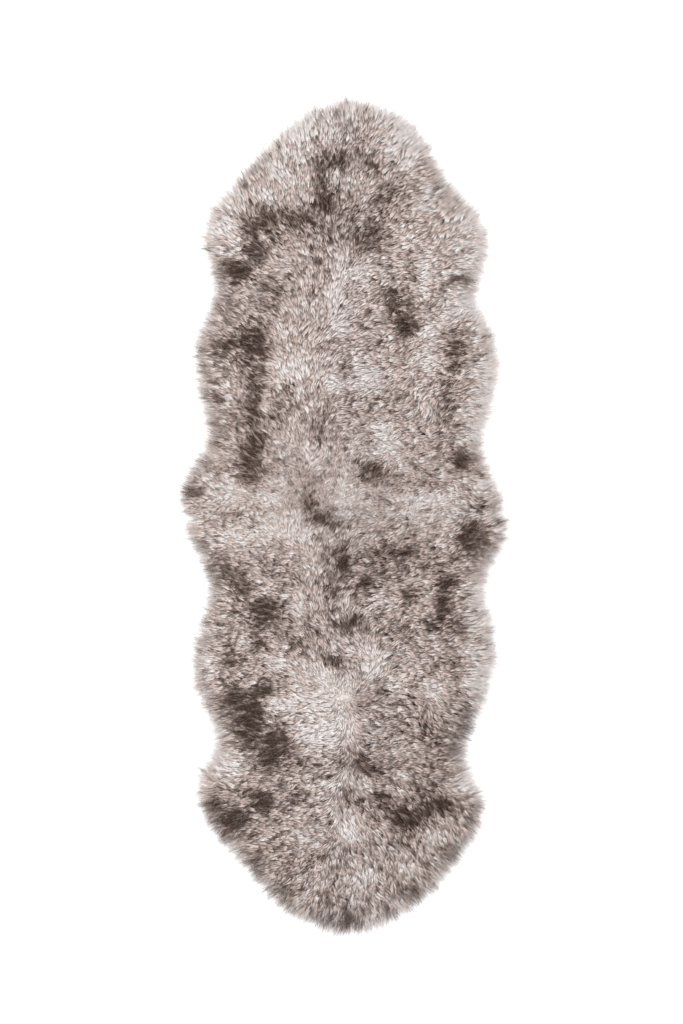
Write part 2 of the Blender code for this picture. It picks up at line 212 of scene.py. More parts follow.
# Patches of tone in the wool's tips, placed and weighed against the photograph, in its
# pixels: (place, pixel across, pixel down, reach across, reach down, darkness)
TONES = (
    ("crown", 338, 156, 13, 10, 0.50),
    ("crown, right", 372, 160, 9, 9, 0.26),
    ("nape", 320, 176, 8, 17, 0.42),
    ("nape, lower", 325, 197, 9, 8, 0.46),
    ("nape, right", 392, 186, 15, 11, 0.26),
    ("neck, far left", 263, 217, 12, 9, 0.74),
    ("neck, left", 291, 217, 13, 7, 0.42),
    ("neck", 322, 225, 15, 12, 0.26),
    ("neck, right", 370, 227, 18, 12, 0.30),
    ("neck foot, right", 364, 243, 11, 6, 0.34),
    ("neck edge, left", 248, 232, 6, 17, 0.42),
    ("between the shoulders", 320, 258, 5, 10, 0.26),
    ("armpit, left", 235, 269, 12, 8, 0.78),
    ("shoulder streak, left", 274, 289, 13, 7, 0.34),
    ("shoulder, left", 222, 310, 13, 11, 0.16),
    ("side, left of the spine", 322, 290, 5, 10, 0.20),
    ("shoulder streak, right", 418, 274, 5, 12, 0.28),
    ("saddle, right", 396, 299, 8, 8, 0.48),
    ("saddle, right, lower", 410, 325, 9, 11, 0.88),
    ("armpit, right", 461, 281, 8, 5, 0.42),
    ("flank, left", 249, 337, 10, 11, 1.10),
    ("flank, left, lower", 259, 350, 8, 8, 0.44),
    ("flank edge, left", 224, 344, 12, 9, 0.40),
    ("flank, right", 458, 350, 7, 14, 0.52),
    ("flank, right, lower", 452, 385, 6, 14, 0.24),
    ("flank foot, right", 448, 412, 6, 12, 0.46),
    ("side, right", 424, 392, 13, 7, 0.12),
    ("side streak top, left", 252, 383, 7, 16, 0.46),
    ("side, left, inner", 279, 416, 8, 20, 0.32),
    ("side streak, upper left", 249, 411, 5, 12, 0.82),
    ("side streak, left", 252, 440, 6, 9, 1.12),
    ("side streak foot, left", 247, 469, 9, 9, 1.05),
    ("side, left, outer", 232, 420, 10, 20, 0.12),
    ("back, left of the spine", 318, 421, 10, 9, 0.26),
    ("back, upper left of the spine", 334, 398, 9, 7, 0.14),
    ("back, right of the spine", 353, 401, 4, 9, 0.38),
    ("back, right", 402, 402, 9, 8, 0.12),
    ("small of the back", 379, 470, 10, 8, 0.66),
    ("small of the back, right", 397, 470, 8, 5, 0.22),
    ("small of the back, left", 310, 497, 7, 10, 0.84),
    ("small of the back, lower left", 322, 513, 8, 6, 0.46),
    ("lower flank, right", 465, 458, 8, 11, 0.80),
    ("tip of the left waist lobe", 190, 492, 6, 5, 0.95),
    ("left waist lobe", 226, 512, 9, 5, 0.38),
    ("right waist lobe", 476, 540, 9, 11, 1.10),
    ("right waist lobe, over", 487, 507, 8, 4, 0.26),
    ("loin spot", 348, 557, 6, 6, 1.75),
    ("loin, left", 336, 549, 8, 5, 0.60),
    ("loin, right", 396, 554, 24, 6, 0.42),
    ("loin, far right", 432, 568, 9, 6, 0.26),
    ("loin, lower right", 370, 581, 6, 8, 0.50),
    ("loin, lower left", 330, 590, 8, 5, 0.54),
    ("hip, right", 411, 596, 6, 8, 0.46),
    ("streak top, right", 449, 587, 5, 10, 0.80),
    ("streak, right", 447, 608, 6, 9, 1.10),
    ("streak foot, right", 439, 625, 7, 6, 0.60),
    ("waist edge, left", 238, 586, 9, 12, 0.40),
    ("hip, left", 259, 611, 9, 9, 1.15),
    ("hip, left, inner", 277, 604, 6, 5, 0.50),
    ("over the whorl", 350, 620, 14, 5, 0.66),
    ("over the whorl, left", 329, 604, 6, 5, 0.24),
    ("line over the whorl", 303, 648, 9, 5, 0.12),
    ("beside the whorl", 334, 656, 9, 5, 0.70),
    ("lower flank, left", 226, 654, 6, 14, 0.32),
    ("side, right of the whorl", 376, 700, 9, 8, 0.18),
    ("side, far right of the whorl", 414, 699, 12, 7, 0.10),
    ("over the right groin", 402, 632, 12, 6, 0.26),
    ("thigh top, left", 258, 690, 11, 6, 1.00),
    ("thigh, left", 246, 714, 12, 14, 0.92),
    ("thigh foot, left", 245, 737, 8, 9, 0.88),
    ("groin, left", 272, 745, 10, 9, 1.65),
    ("under the groin, left", 264, 775, 8, 9, 0.14),
    ("hip edge, right", 433, 728, 10, 16, 0.18),
    ("groin, right", 446, 748, 11, 9, 0.16),
    ("rump", 363, 764, 9, 8, 0.80),
    ("rump, right", 382, 774, 8, 7, 0.60),
    ("hind leg, left", 232, 820, 9, 8, 1.50),
    ("hind leg, left, outer", 214, 806, 7, 7, 0.46),
    ("hind leg, left, inner", 259, 803, 9, 9, 0.76),
    ("haunch, left", 295, 797, 10, 6, 0.34),
    ("hind leg, right, inner", 384, 800, 9, 5, 0.52),
    ("hind leg, right", 412, 821, 11, 8, 1.35),
    ("hind leg, right, outer", 441, 808, 12, 7, 0.80),
    ("hind leg tip, right", 472, 806, 6, 9, 0.18),
    ("rump edge, left", 256, 866, 6, 10, 0.42),
    ("rump edge, right", 412, 893, 12, 5, 0.32),
    ("rump, far left", 290, 866, 10, 9, 0.16),
    ("tail", 349, 917, 7, 6, 0.42),
    ("tail, right", 348, 924, 8, 4, 0.40),
    ("pale foreleg, left", 221, 226, 13, 13, -0.50),
    ("pale brow, left", 228, 196, 13, 10, -0.18),
    ("pale crown, left", 299, 128, 16, 13, -0.44),
    ("pale crown, middle", 350, 112, 14, 6, -0.20),
    ("pale spot on the cheek", 265, 194, 8, 7, -0.40),
    ("pale spot on the nape", 336, 173, 6, 7, -0.60),
    ("pale crown, right", 402, 130, 14, 14, -0.58),
    ("pale brow, right", 424, 205, 16, 9, -0.36),
    ("pale shoulder, right", 472, 222, 15, 20, -0.18),
    ("pale side, right", 431, 272, 7, 14, -0.50),
    ("spine, top", 345, 262, 12, 8, -0.45),
    ("spine, upper", 336, 294, 8, 14, -0.55),
    ("spine, middle", 342, 322, 8, 10, -0.55),
    ("pale armpit edge, right", 478, 305, 10, 18, -0.26),
    ("pale saddle", 426, 332, 9, 10, -0.35),
    ("parting of the left flank", 291, 364, 12, 9, -0.90),
    ("tuft on the spine", 338, 381, 7, 6, -1.1),
    ("pale spot on the back", 376, 380, 11, 9, -0.95),
    ("pale flank edge, right", 487, 385, 10, 42, -0.32),
    ("pale saddle, lower", 430, 362, 9, 9, -0.30),
    ("pale streak on the back", 393, 436, 10, 13, -0.60),
    ("pale side of the back", 307, 452, 10, 9, -0.32),
    ("pale streak foot on the back", 398, 462, 6, 9, -0.30),
    ("pale side, left of the back", 287, 430, 9, 14, -0.20),
    ("pale edge over the waist, right", 488, 488, 10, 10, -0.45),
    ("pale waist, far left", 222, 489, 12, 7, -0.50),
    ("pale waist, left", 262, 496, 11, 6, -0.36),
    ("pale waist, right", 428, 499, 21, 6, -0.64),
    ("pale waist, middle", 350, 495, 6, 9, -0.34),
    ("under the waist, left", 236, 532, 24, 12, -0.30),
    ("under the waist", 286, 526, 22, 11, -0.34),
    ("pale loin, left", 268, 583, 8, 6, -0.32),
    ("pale hip, left", 292, 600, 9, 8, -0.36),
    ("pale hip, right", 394, 602, 6, 10, -0.42),
    ("pale edge under the waist, right", 481, 605, 11, 24, -0.36),
    ("pale spot right of the whorl", 377, 660, 8, 11, -1.1),
    ("pale line over the whorl", 356, 641, 10, 5, -0.34),
    ("pale spot over the whorl", 322, 633, 7, 5, -0.30),
    ("cowlick left of the whorl", 292, 702, 22, 7, -0.95),
    ("whorl", 334, 686, 11, 10, -1.2),
    ("under the whorl", 321, 731, 20, 13, -0.90),
    ("pale spot on the right thigh", 441, 690, 7, 8, -0.60),
    ("pale flank edge, right of the whorl", 482, 674, 11, 30, -0.48),
    ("pale flank edge, left of the whorl", 208, 664, 8, 16, -0.26),
    ("pale rump", 341, 784, 27, 4, -0.80),
    ("pale leg top, left", 226, 768, 14, 12, -0.40),
    ("pale leg tip, right", 478, 772, 10, 9, -0.40),
    ("over the tail", 352, 830, 11, 10, -0.56),
    ("pale haunch, right", 444, 838, 10, 7, -0.30),
    ("pale haunch, left", 300, 838, 12, 8, -0.16),
    ("pale rump, lower", 368, 880, 14, 11, -0.36),
    ("pale tail, left", 306, 898, 8, 6, -0.20),
    ("thigh edge, left", 226, 696, 9, 12, 0.45),
    ("under the thigh, left", 262, 760, 8, 6, 0.60),
    ("pale foreleg, right", 472, 252, 13, 12, -0.56),
    ("pale side, left of the whorl", 272, 664, 8, 10, -0.34),
    ("under the shoulder, left", 262, 306, 10, 6, 0.34),
    ("side foot, left", 242, 454, 9, 10, 0.56),
    ("neck, broad", 345, 216, 42, 18, 0.09),
    ("neck, upper", 348, 204, 18, 6, 0.16),
    ("neck foot, left", 277, 239, 13, 9, 0.24),
    ("neck edge foot, left", 256, 251, 7, 8, 0.60),
    ("cheek foot, right", 410, 201, 14, 8, 0.20),
    ("pale cheek, left", 286, 168, 12, 18, -0.24),
    ("pale crown, left of the middle", 333, 137, 8, 9, -0.30),
    ("pale cheek, right", 409, 157, 13, 14, -0.26),
    ("pale saddle top, right", 414, 242, 9, 10, -0.20),
    ("under the armpit, right", 462, 303, 13, 13, -0.44),
    ("pale back, right", 427, 398, 11, 10, -0.30),
    ("under the small of the back", 402, 490, 17, 6, 0.30),
    ("small of the back, foot", 331, 511, 8, 9, 0.44),
    ("loin, broad", 386, 570, 46, 20, 0.10),
    ("loin, left, lower", 338, 573, 11, 7, 0.44),
    ("over the whorl, left side", 280, 632, 22, 12, 0.16),
    ("hip foot, left", 253, 640, 8, 12, 0.34),
    ("pale left of the whorl", 316, 669, 14, 9, -0.42),
    ("hind leg, right, start", 390, 811, 13, 8, 0.40),
    ("pale leg top, right", 466, 788, 10, 12, -0.40),
    ("haunch, right, inner", 405, 844, 10, 9, 0.30),
    ("pale tail, right", 364, 888, 9, 8, -0.16),
    ("tail edge, left", 286, 892, 11, 8, 0.28),
    ("neck edge foot", 254, 249, 7, 7, 0.16),
    ("neck top, left", 295, 206, 10, 5, 0.32),
    ("pale side, lower right", 438, 328, 8, 12, -0.26),
    ("pale edge, right flank foot", 474, 425, 8, 16, -0.34),
    ("waist edge, far left", 223, 572, 8, 10, 0.30),
    ("streak top, right, outer", 455, 580, 8, 10, 0.32),
    ("loin, far left", 273, 574, 14, 12, 0.20),
    ("spine, right of the tuft", 351, 368, 5, 10, 0.34),
    ("pale spine over the tuft", 322, 352, 9, 5, -0.28),
    ("flank, left, inner", 238, 360, 9, 9, 0.38),
    ("loin top, right", 432, 484, 12, 8, 0.08),
    ("over the whorl, right", 345, 622, 10, 7, 0.28),
    ("hind leg top, left", 250, 792, 13, 8, 0.28),
    ("groin foot, right", 438, 769, 12, 9, 0.16),
    ("hind leg top, right", 434, 791, 14, 7, 0.34),
    ("haunch edge, right", 455, 852, 9, 8, 0.28),
    ("pale rump edge, left", 238, 853, 12, 8, -0.26),
    ("pale tail, far right", 396, 905, 9, 6, -0.22),
    ("pale rump, right", 413, 875, 10, 7, -0.28),
    ("saddle, right, middle", 403, 309, 7, 9, 0.34),
    ("saddle, right, foot", 418, 330, 8, 7, 0.30),
    ("nape, inner", 334, 186, 8, 8, 0.28),
    ("crown, middle right", 354, 130, 8, 8, 0.22),
    ("neck, right, outer", 386, 235, 8, 10, 0.24),
    ("pale spine, upper left", 314, 303, 9, 8, -0.22),
    ("pale spine, upper right", 345, 309, 8, 7, -0.20),
    ("back, left, lower", 307, 466, 7, 12, 0.26),
    ("pale lobe top, right", 465, 483, 9, 7, -0.32),
    ("pale lobe, right, inner", 458, 514, 8, 11, -0.20),
    ("back, lower right", 405, 423, 9, 9, 0.18),
    ("over the whorl, middle", 318, 628, 10, 6, 0.34),
    ("side, far right", 460, 661, 9, 9, 0.28),
    ("side, far right, upper", 462, 626, 10, 7, 0.22),
    ("pale side, far right of the whorl", 410, 683, 8, 7, -0.22),
    ("groin edge, right", 464, 728, 6, 9, 0.34),
    ("thigh edge foot, left", 215, 738, 6, 12, -0.40),
    ("under the groin, inner", 285, 764, 10, 8, 0.30),
    ("over the rump line", 330, 769, 12, 5, 0.30),
    ("under the rump line", 353, 806, 10, 6, 0.34),
)
TONE_REACH = 1.12  # a patch's real reach, against the one given
TONE_DEPTH = 1.25  # and its darkness
EVEN_TONE = (0.33, 0.41)  # of most of the wool, at the head end and at the foot end
TONE_SWINGS = ((0.060, 0.10), (0.024, 0.20))  # unevenness over a patch: (size, swing)
DARK_LIMIT = (0.85, 0.40)  # a darker patch is eased past this tone: (tone, at most this much more)
PALE_LIMIT = (0.12, 0.24)  # and a paler one: (tone, at most this much less)
TIP_SHIFT = 0.020  # a lock shows its tip this far from its root
SEAM_LAP = 0.0006  # the two fleeces are lapped this far before their form is matted
COMBING = (0.5, 16)  # smoothing of that form: (factor, passes)
WELD = 1e-5  # a solid's loose triangles are joined where their corners are this close
CUT_WELD = 1e-4  # and so are the points of a hide that is cut into its grid
FACES_DOWN = -0.5  # a face or point whose normal is lower than this is on the lower side
SEAM_GAP = 0.0002  # from the seam to the ground of either pelt
LAY_GAP = 0.0003  # from the hide to the ground on it
SEAM_STAND = 0.020  # the wool beside the seam stands upright from here
SEAM_BARE = 0.55  # no wool below this share of the ground's height on its wall at the seam
BARE_DOWN = -0.35  # and none where the ground's normal is lower than this
SEAM_TONE = (0.0045, -0.40)  # pale roots along the seam: (reach, darkness)
RIM_PALE_AND_PAINTED_LIGHT = (0.030, -0.06)  # paler towards the rim, partly the wool's own colour and partly painted light of the bright floor glowing into the edge: (reach, darkness)
WARM_SPINE = 0.25  # share of beige locks on the spine
WARM_SIDE = 0.14  # from the spine out to where the locks are all beige
WARM_PATCH = 0.05  # size of the patches that are more beige or more grey than that
WARM_SWING = 0.5  # and how much more

DRIFTS = ((11.0, 1.2), (34.0, 1.1))  # drift of the lie over the pelt: (noise scale, radians)
CLUMP_TURN = 0.55  # radians
RIM_SETTLED = 0.5  # share of all turns that the rim's wool doesn't make
TONE_ENDS = (0.01, 0.985)  # least and most tone of a lock
WARMTH_LOT = (0.6, 0.2)  # a clump is beige where the warmth is over its lot: (range, least lot)
BAND_WIDTH = 0.007  # a lock's width in its map
TUFT_SWING = (90.0, 1.3)  # tone from tuft to tuft: (noise scale, swing)
CLUMP_TONE = (0.52, 4.0)  # tone from clump to clump: (swing, power that makes the dark ones few)
LOCK_TONE = (0.12, 4.0)  # and from lock to lock
CLUMP_LENGTHS = (0.78, 1.15)  # shares of the wool's length, from clump to clump
LOCK_LENGTHS = (0.88, 1.06)  # and from lock to lock in a clump
CLUMP_HEIGHTS = (0.85, 1.20)  # shares of its rise, from clump to clump
LOCK_HEIGHTS = (0.95, 1.05)  # and from lock to lock
LOCK_DRAW = (0.7, 1.1)  # shares of its draw to the clump's middle
LEVEL = (1.0, 1.0, 0.0)  # takes the height out of a vector
ARCH = 0.42  # share of its rise that a lock loses towards its tip
LOCK_RISE = 0.45  # its rise to a lean of 1, for the way that its cross section faces
BEND = 0.6  # share of its lean that it takes on towards its tip
LOCK_THICK = 0.6  # a lock's thickness against its width
LEAST_REACH = 0.004  # a lock that is trimmed at the edge still reaches this far
FLOOR_GAP = 0.0004  # locks stay this far over the floor

WHITE_TO = 0.30  # locks up to this tone are whiter
MID_FROM = 0.12  # the bodies of locks over this tone are browner
MID_SHARE = 0.85  # brown in the body of the darkest lock
DARK_FROM = (0.98, 0.30)  # where along a lock its dark tip begins: (palest lock, darkest lock)
DARK_FADE = (-0.20, 0.22)  # the fade into the tip round that place
DARK_SHARE = (0.48, 1.0)  # how dark a tip gets: (palest lock, from the middling lock on)
SHADE_RANGE = (0.97, 1.02)  # brightness from lock to lock
LIGHT_REACH = 0.010  # how far the light goes on in the wool
GROUND_PAINTED_SHADE = 0.60  # painted shade: the underwool is painted this much darker than the white wool, for the shade deep under the locks
GROUND_DEEP_PAINTED_SHADE = 0.35  # painted shade: and where the locks over it are dark, against the beige wool
SUEDE_CLOUD = 0.72  # the suede's darker clouds against its own colour
NAP_TINT = (0.75, 0.66, 0.54)  # worn nap of the suede
THREAD_TINTS = ((0.74, 0.66, 0.53), (0.52, 0.43, 0.31))  # clean and soiled thread

# The tanned hides
SKIN_GRID = 0.014  # between the rows of points that let a hide lie unevenly
SKIN_LINES = (0.0012, 0.0026, 0.0044, 0.0068, 0.0100)  # rows of points this far from the seam
SEAM_LIFT = (0.0012, 0.0075)  # a hide's edge is lifted where it is sewn: (lift, reach)
PUCKER = (0.0004, 0.013, 0.020)  # waves along the seam: (rise, length, reach)
SKIN_RISE = (0.0005, 0.05)  # the rest of a hide lies this unevenly: (rise, size)
SEAM_ENDS = (0.003, 0.002)  # from the hides' edges to the first stitch and to the last
STITCH_INPUTS = {"Spacing": 0.0042, "Slant": 0.0022, "Width": 0.0064, "Thread": 0.0003}
STITCH_LEVELS = (0.0014, -0.0004)  # the thread's ends in the skin, and where it bends to
STITCH_STRAYS = ((3, 0.0006), (4, 0.0005))  # unevenness along and across the seam: (seed, swing)

FLOOR_DROP = 0.0002  # the floor lies this far under the hides
SOFTBOX_SIZE = 2.4
SOFTBOX_PLACE = (-0.8, 1.0, 4.2)
SIGHT = 100.0  # the camera sees this far

# How each wool grows, by the inputs of its tree
SHORT_FORM = {"Rise": 0.55, "Lean": 0.66, "Stray": 0.30}
LONG_FORM = {"Rise": 0.45, "Lean": 0.66, "Stray": 0.12, "Draw": 0.8, "Least gap": -0.004, "Most gap": 0.030}
RIM_FORM = {
    "Rise": 0.25,
    "Lean": 0.75,
    "Droop": 0.25,
    "Stray": 0.40,
    "Draw": 0.6,
    "Rim only": 1.0,
    "Least gap": -0.028,
    "Most gap": 0.030,
}
WOOL_SEEDS = (11, 18)  # of each pelt's locks
GROUND_ATTRIBUTES = ("lie", "stand", "tone", "warmth", "cover", "rim", "room", "loose")


# ---- Settings -------------------------------------------------------------------------------
def number(name, description, default, **limits):
    return bpy.props.FloatProperty(name=name, description=description, default=default, **limits)


def length(name, description, default):
    return number(name, description, default, min=0, precision=4, subtype="DISTANCE")


def colour(name, description, default):
    return bpy.props.FloatVectorProperty(
        name=name, description=description, default=default, min=0, max=1, subtype="COLOR"
    )


class SheepskinWoolSettings(bpy.types.PropertyGroup):
    """Sizes of the wool."""

    ground_voxel: length("Ground voxel", "Grain of the matted underwool", 0.012)
    ground_depth: length("Ground depth", "Depth of the underwool below the wool's top", 0.007)
    ground_inset: length("Ground inset", "From the wool's side in to the underwool", 0.013)
    short_length: length("Short wool", "Length of the fine short wool", 0.026)
    short_width: length("Short wool width", "Width of a strand of the fine short wool", 0.0020)
    short_density: number("Short wool density", "Strands to a square metre", 72000, min=0)
    long_length: length("Long wool", "Length of the locks", 0.036)
    long_width: length("Long wool width", "Width of a lock", 0.0028)
    long_density: number("Long wool density", "Locks to a square metre", 62000, min=0)
    rim_length: length("Rim wool", "Length of the loose wool round the rim", 0.056)
    rim_width: length("Rim wool width", "Width of a lock of the rim", 0.0009)
    rim_density: number("Rim wool density", "Locks to a square metre of the rim", 170000, min=0)
    clump: length("Clump", "Size of the clumps that the locks draw together in", 0.0095)


class SheepskinColourSettings(bpy.types.PropertyGroup):
    """Colours of the materials."""

    white: colour("White wool", "The palest tufts", (0.96, 0.885, 0.855))
    cool: colour("Grey wool", "Pale locks on the spine", (0.838, 0.70, 0.662))
    pale: colour("Pale wool", "Pale locks all over", (0.849, 0.684, 0.624))
    warm: colour("Beige wool", "Beige locks at the sides", (0.822, 0.632, 0.548))
    mid: colour("Brown wool", "Bodies of the dark locks", (0.328, 0.223, 0.188))
    dark: colour("Dark tips", "Tips of the dark locks", (0.036, 0.022, 0.018))
    brown: colour("Brown tips", "Tips that are browner", (0.110, 0.066, 0.052))
    suede: colour("Suede", "Skin side of the hides", (0.62, 0.50, 0.37))
    floor: colour("Floor", "Plain floor", (0.93, 0.93, 0.93))


class SheepskinStageSettings(bpy.types.PropertyGroup):
    """Camera, floor and lights."""

    lens: number("Lens", "Focal length", 85, min=1, unit="CAMERA")
    floor_reach: length("Floor reach", "Half the width of the floor", 14.0)
    sky: number("Sky", "Strength of the light from all round", 1.25)
    key: number("Key", "Power of the soft light overhead", 117)


# ---- Writing node trees ---------------------------------------------------------------------
class Graph:
    """A node tree being written. A call adds a node, feeds it and gives back one of its outputs."""

    def __init__(self, tree):
        self.tree = tree

    def add(self, kind, feeds=None, output=0, **settings):
        node = self.tree.nodes.new(kind)
        for name, value in settings.items():
            setattr(node, name, value)
        for socket, value in (feeds or {}).items():
            self.feed(node.inputs[socket], value)
        return node.outputs[output]

    def feed(self, socket, value):
        if isinstance(value, bpy.types.NodeSocket):
            self.tree.links.new(value, socket)
        else:
            socket.default_value = value

    def math(self, operation, *values):
        return self.add("ShaderNodeMath", dict(enumerate(values)), operation=operation)

    def vector(self, operation, *values, output="Vector"):
        feeds = dict(enumerate(values))
        return self.add("ShaderNodeVectorMath", feeds, output, operation=operation)

    def product(self, *values):
        total = values[0]
        for value in values[1:]:
            total = self.math("MULTIPLY", total, value)
        return total

    def scaled(self, vector, factor):
        return self.add("ShaderNodeVectorMath", {0: vector, "Scale": factor}, operation="SCALE")

    def summed(self, *vectors):
        total = vectors[0]
        for vector in vectors[1:]:
            total = self.vector("ADD", total, vector)
        return total

    def ramp(self, value, low, high, to_low=0.0, to_high=1.0, smooth=True):
        """The value read from low to high onto to_low to to_high, held at its ends."""
        feeds = {"Value": value, "From Min": low, "From Max": high, "To Min": to_low, "To Max": to_high}
        kind = "SMOOTHSTEP" if smooth else "LINEAR"
        return self.add("ShaderNodeMapRange", feeds, interpolation_type=kind)

    def mix_colours(self, factor, a, b, blend="MIX"):
        feeds = {"Factor": factor, "A": a, "B": b}
        node = self.tree.nodes.new("ShaderNodeMix")
        node.data_type = "RGBA"
        node.blend_type = blend
        for name, value in feeds.items():
            kind = "VALUE" if name == "Factor" else "RGBA"
            socket = next(s for s in node.inputs if s.name == name and s.type == kind)
            self.feed(socket, (*value, 1) if isinstance(value, tuple) and len(value) == 3 else value)
        return next(s for s in node.outputs if s.type == "RGBA")

    def joined(self, x=0.0, y=0.0, z=0.0):
        """A vector of these parts."""
        return self.add("ShaderNodeCombineXYZ", {0: x, 1: y, 2: z})

    def noise(self, place, scale, detail=0.0):
        feeds = {"Vector": place, "Scale": scale, "Detail": detail}
        return self.add("ShaderNodeTexNoise", feeds, "Fac")

    def attribute(self, name, data_type="FLOAT"):
        return self.add("GeometryNodeInputNamedAttribute", {"Name": name}, data_type=data_type)

    def store(self, geometry, name, value, data_type="FLOAT", domain="POINT"):
        feeds = {"Geometry": geometry, "Name": name, "Value": value}
        return self.add("GeometryNodeStoreNamedAttribute", feeds, data_type=data_type, domain=domain)

    def chance(self, seed, low=0.0, high=1.0):
        """A random number for each point."""
        feeds = {2: low, 3: high, "Seed": seed}
        return self.add("FunctionNodeRandomValue", feeds, 1, data_type="FLOAT")


def new_tree(name, inputs):
    """A geometry tree with a geometry in and out and the named inputs: (name, kind, default)."""
    tree = bpy.data.node_groups.new(name, "GeometryNodeTree")
    tree.interface.new_socket("Geometry", in_out="INPUT", socket_type="NodeSocketGeometry")
    tree.interface.new_socket("Geometry", in_out="OUTPUT", socket_type="NodeSocketGeometry")
    for label, kind, default in inputs:
        socket = tree.interface.new_socket(label, in_out="INPUT", socket_type="NodeSocket" + kind)
        if default is not None:
            socket.default_value = default
    graph = Graph(tree)
    entry = tree.nodes.new("NodeGroupInput")
    return tree, graph, {socket.name: socket for socket in entry.outputs}


def end_tree(graph, geometry, material):
    geometry = graph.add("GeometryNodeSetMaterial", {"Geometry": geometry, "Material": material})
    out = graph.tree.nodes.new("NodeGroupOutput")
    graph.feed(out.inputs["Geometry"], geometry)


# ---- Fields over the rug --------------------------------------------------------------------
def rounded(corners):
    """A closed Catmull-Rom curve through the corners."""
    curve = []
    for i in range(len(corners)):
        before, start, end, after = (Vector(corners[(i + k) % len(corners)]) for k in (-1, 0, 1, 2))
        for step in range(SPAN_SAMPLES):
            t = step / SPAN_SAMPLES
            rise = (end - before) * t
            bend = (2 * before - 5 * start + 4 * end - after) * t**2
            twist = (3 * start - before - 3 * end + after) * t**3
            curve.append(start + (rise + bend + twist) / 2)
    return curve


def outline_fence():
    """An upright fence along the wool's edge, to measure to."""
    loop = rounded([(x, y) for _, x, y in OUTLINE])
    corners = [Vector((*point, z)) for z in (-1, 1) for point in loop]
    count = len(loop)
    walls = [(i, (i + 1) % count, (i + 1) % count + count, i + count) for i in range(count)]
    return BVHTree.FromPolygons(corners, walls)


def way_to(degrees):
    return Vector((math.cos(math.radians(degrees)), math.sin(math.radians(degrees)), 0))


def lie_of_wool(x, y):
    """The way the wool lies: by its row, turned at the whorls."""
    for upper, lower in zip(LIE, LIE[1:]):
        if y >= lower[0]:
            break
    down = min(1.0, max(0.0, (upper[0] - y) / (upper[0] - lower[0])))
    line, reach = (upper[k] + (lower[k] - upper[k]) * down for k in (1, 5))
    side = 2 if x < line else 4
    parting, edge = (way_to(upper[k]).lerp(way_to(lower[k]), down) for k in (3, side))
    across = min(1.0, abs(x - line) / reach)
    turn = 0.0
    for _, px, py, size, degrees in WHORLS:
        turn += degrees * math.exp(-((x - px) ** 2 + (y - py) ** 2) / size**2)
    lie = parting.lerp(edge, across * across * (3 - 2 * across))
    return Matrix.Rotation(math.radians(turn), 3, "Z") @ lie


def looseness(x, y):
    """How unsettled the lie is, 1 where it is even."""
    return 1 + sum(
        share * math.exp(-(((x - px) / reach_x) ** 2) - ((y - py) / reach_y) ** 2)
        for _, px, py, reach_x, reach_y, share in LOOSE
    )


def lean_of_wool(x, y):
    """Share of the wool's lean that is left, 1 where it lies as the rest does."""
    left = 1.0
    for _, px, py, reach_x, reach_y, kept in STANDING:
        left *= 1 - (1 - kept) * math.exp(-(((x - px) / reach_x) ** 2) - ((y - py) / reach_y) ** 2)
    return left


def on_rug(across, down):
    """The place on the rug, in metres, that a pixel of the photograph shows."""
    return (across - PHOTO_CENTRE[0]) * PIXEL, (PHOTO_CENTRE[1] - down) * PIXEL


def tone_patch(row):
    """A row of the table of tone, in metres: (x, y, reach along X, reach along Y, darkness)."""
    _, across, down, wide, high, darkness = row
    reaches = (pixels * PIXEL * TONE_REACH for pixels in (wide, high))
    return (*on_rug(across, down), *reaches, darkness * TONE_DEPTH)


TONE_PATCHES = [tone_patch(row) for row in TONES]


def tone_of_wool(x, y):
    """Share of dark in the wool's tips, 0 to 1."""
    down = 0.5 - 0.5 * y / CAD_BOX[1][1]
    tone = EVEN_TONE[0] + (EVEN_TONE[1] - EVEN_TONE[0]) * down
    for px, py, reach_x, reach_y, darkness in TONE_PATCHES:
        tone += darkness * math.exp(-(((x - px) / reach_x) ** 2) - ((y - py) / reach_y) ** 2)
    for size, swing in TONE_SWINGS:
        tone += swing * noise.noise(Vector((x, y, size)) / size)
    for (limit, ease), side in ((DARK_LIMIT, 1), (PALE_LIMIT, -1)):
        past = side * (tone - limit)
        if past > 0:
            tone = limit + side * ease * (1 - math.exp(-past / ease))
    return tone


def warmth_of_wool(x, y):
    """Share of beige locks among the grey ones: few on the spine, most at the sides."""
    side = min(1.0, abs(x) / WARM_SIDE)
    return WARM_SPINE + (1 - WARM_SPINE) * side + WARM_SWING * noise.noise(Vector((x, y, 9)) / WARM_PATCH)


# ---- Finishing pieces -----------------------------------------------------------------------
def piece_from(name, source_mesh):
    obj = bpy.data.objects.new(name, source_mesh)
    bpy.context.scene.collection.objects.link(obj)
    return obj


def evaluated_copy(obj, name):
    """The object's evaluated mesh as a plain mesh of its own."""
    depsgraph = bpy.context.evaluated_depsgraph_get()
    mesh = bpy.data.meshes.new_from_object(obj.evaluated_get(depsgraph), depsgraph=depsgraph)
    mesh.name = name
    return mesh


def hand_over(piece):
    """The piece rides on the rug's body."""
    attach(piece, BODY)


def grown(name, mesh, tree, values, material):
    """A plain mesh piece that a tree makes on the mesh, fed by input name."""
    carrier = bpy.data.objects.new(name + "_carrier", mesh)
    bpy.context.scene.collection.objects.link(carrier)
    modifier = carrier.modifiers.new(name, "NODES")
    modifier.node_group = tree
    sockets = {s.name: s.identifier for s in tree.interface.items_tree if s.in_out == "INPUT"}
    for label, value in {**values, "Material": material}.items():
        modifier[sockets[label]] = value
    made = evaluated_copy(carrier, name)
    bpy.data.objects.remove(carrier)
    piece = piece_from(name, made)
    hand_over(piece)
    return piece


# ---- Materials ------------------------------------------------------------------------------
def new_material(name, roughness):
    material = bpy.data.materials.new(name)
    material.use_nodes = True
    shader = material.node_tree.nodes["Principled BSDF"]
    shader.inputs["Roughness"].default_value = roughness
    return material, Graph(material.node_tree), shader


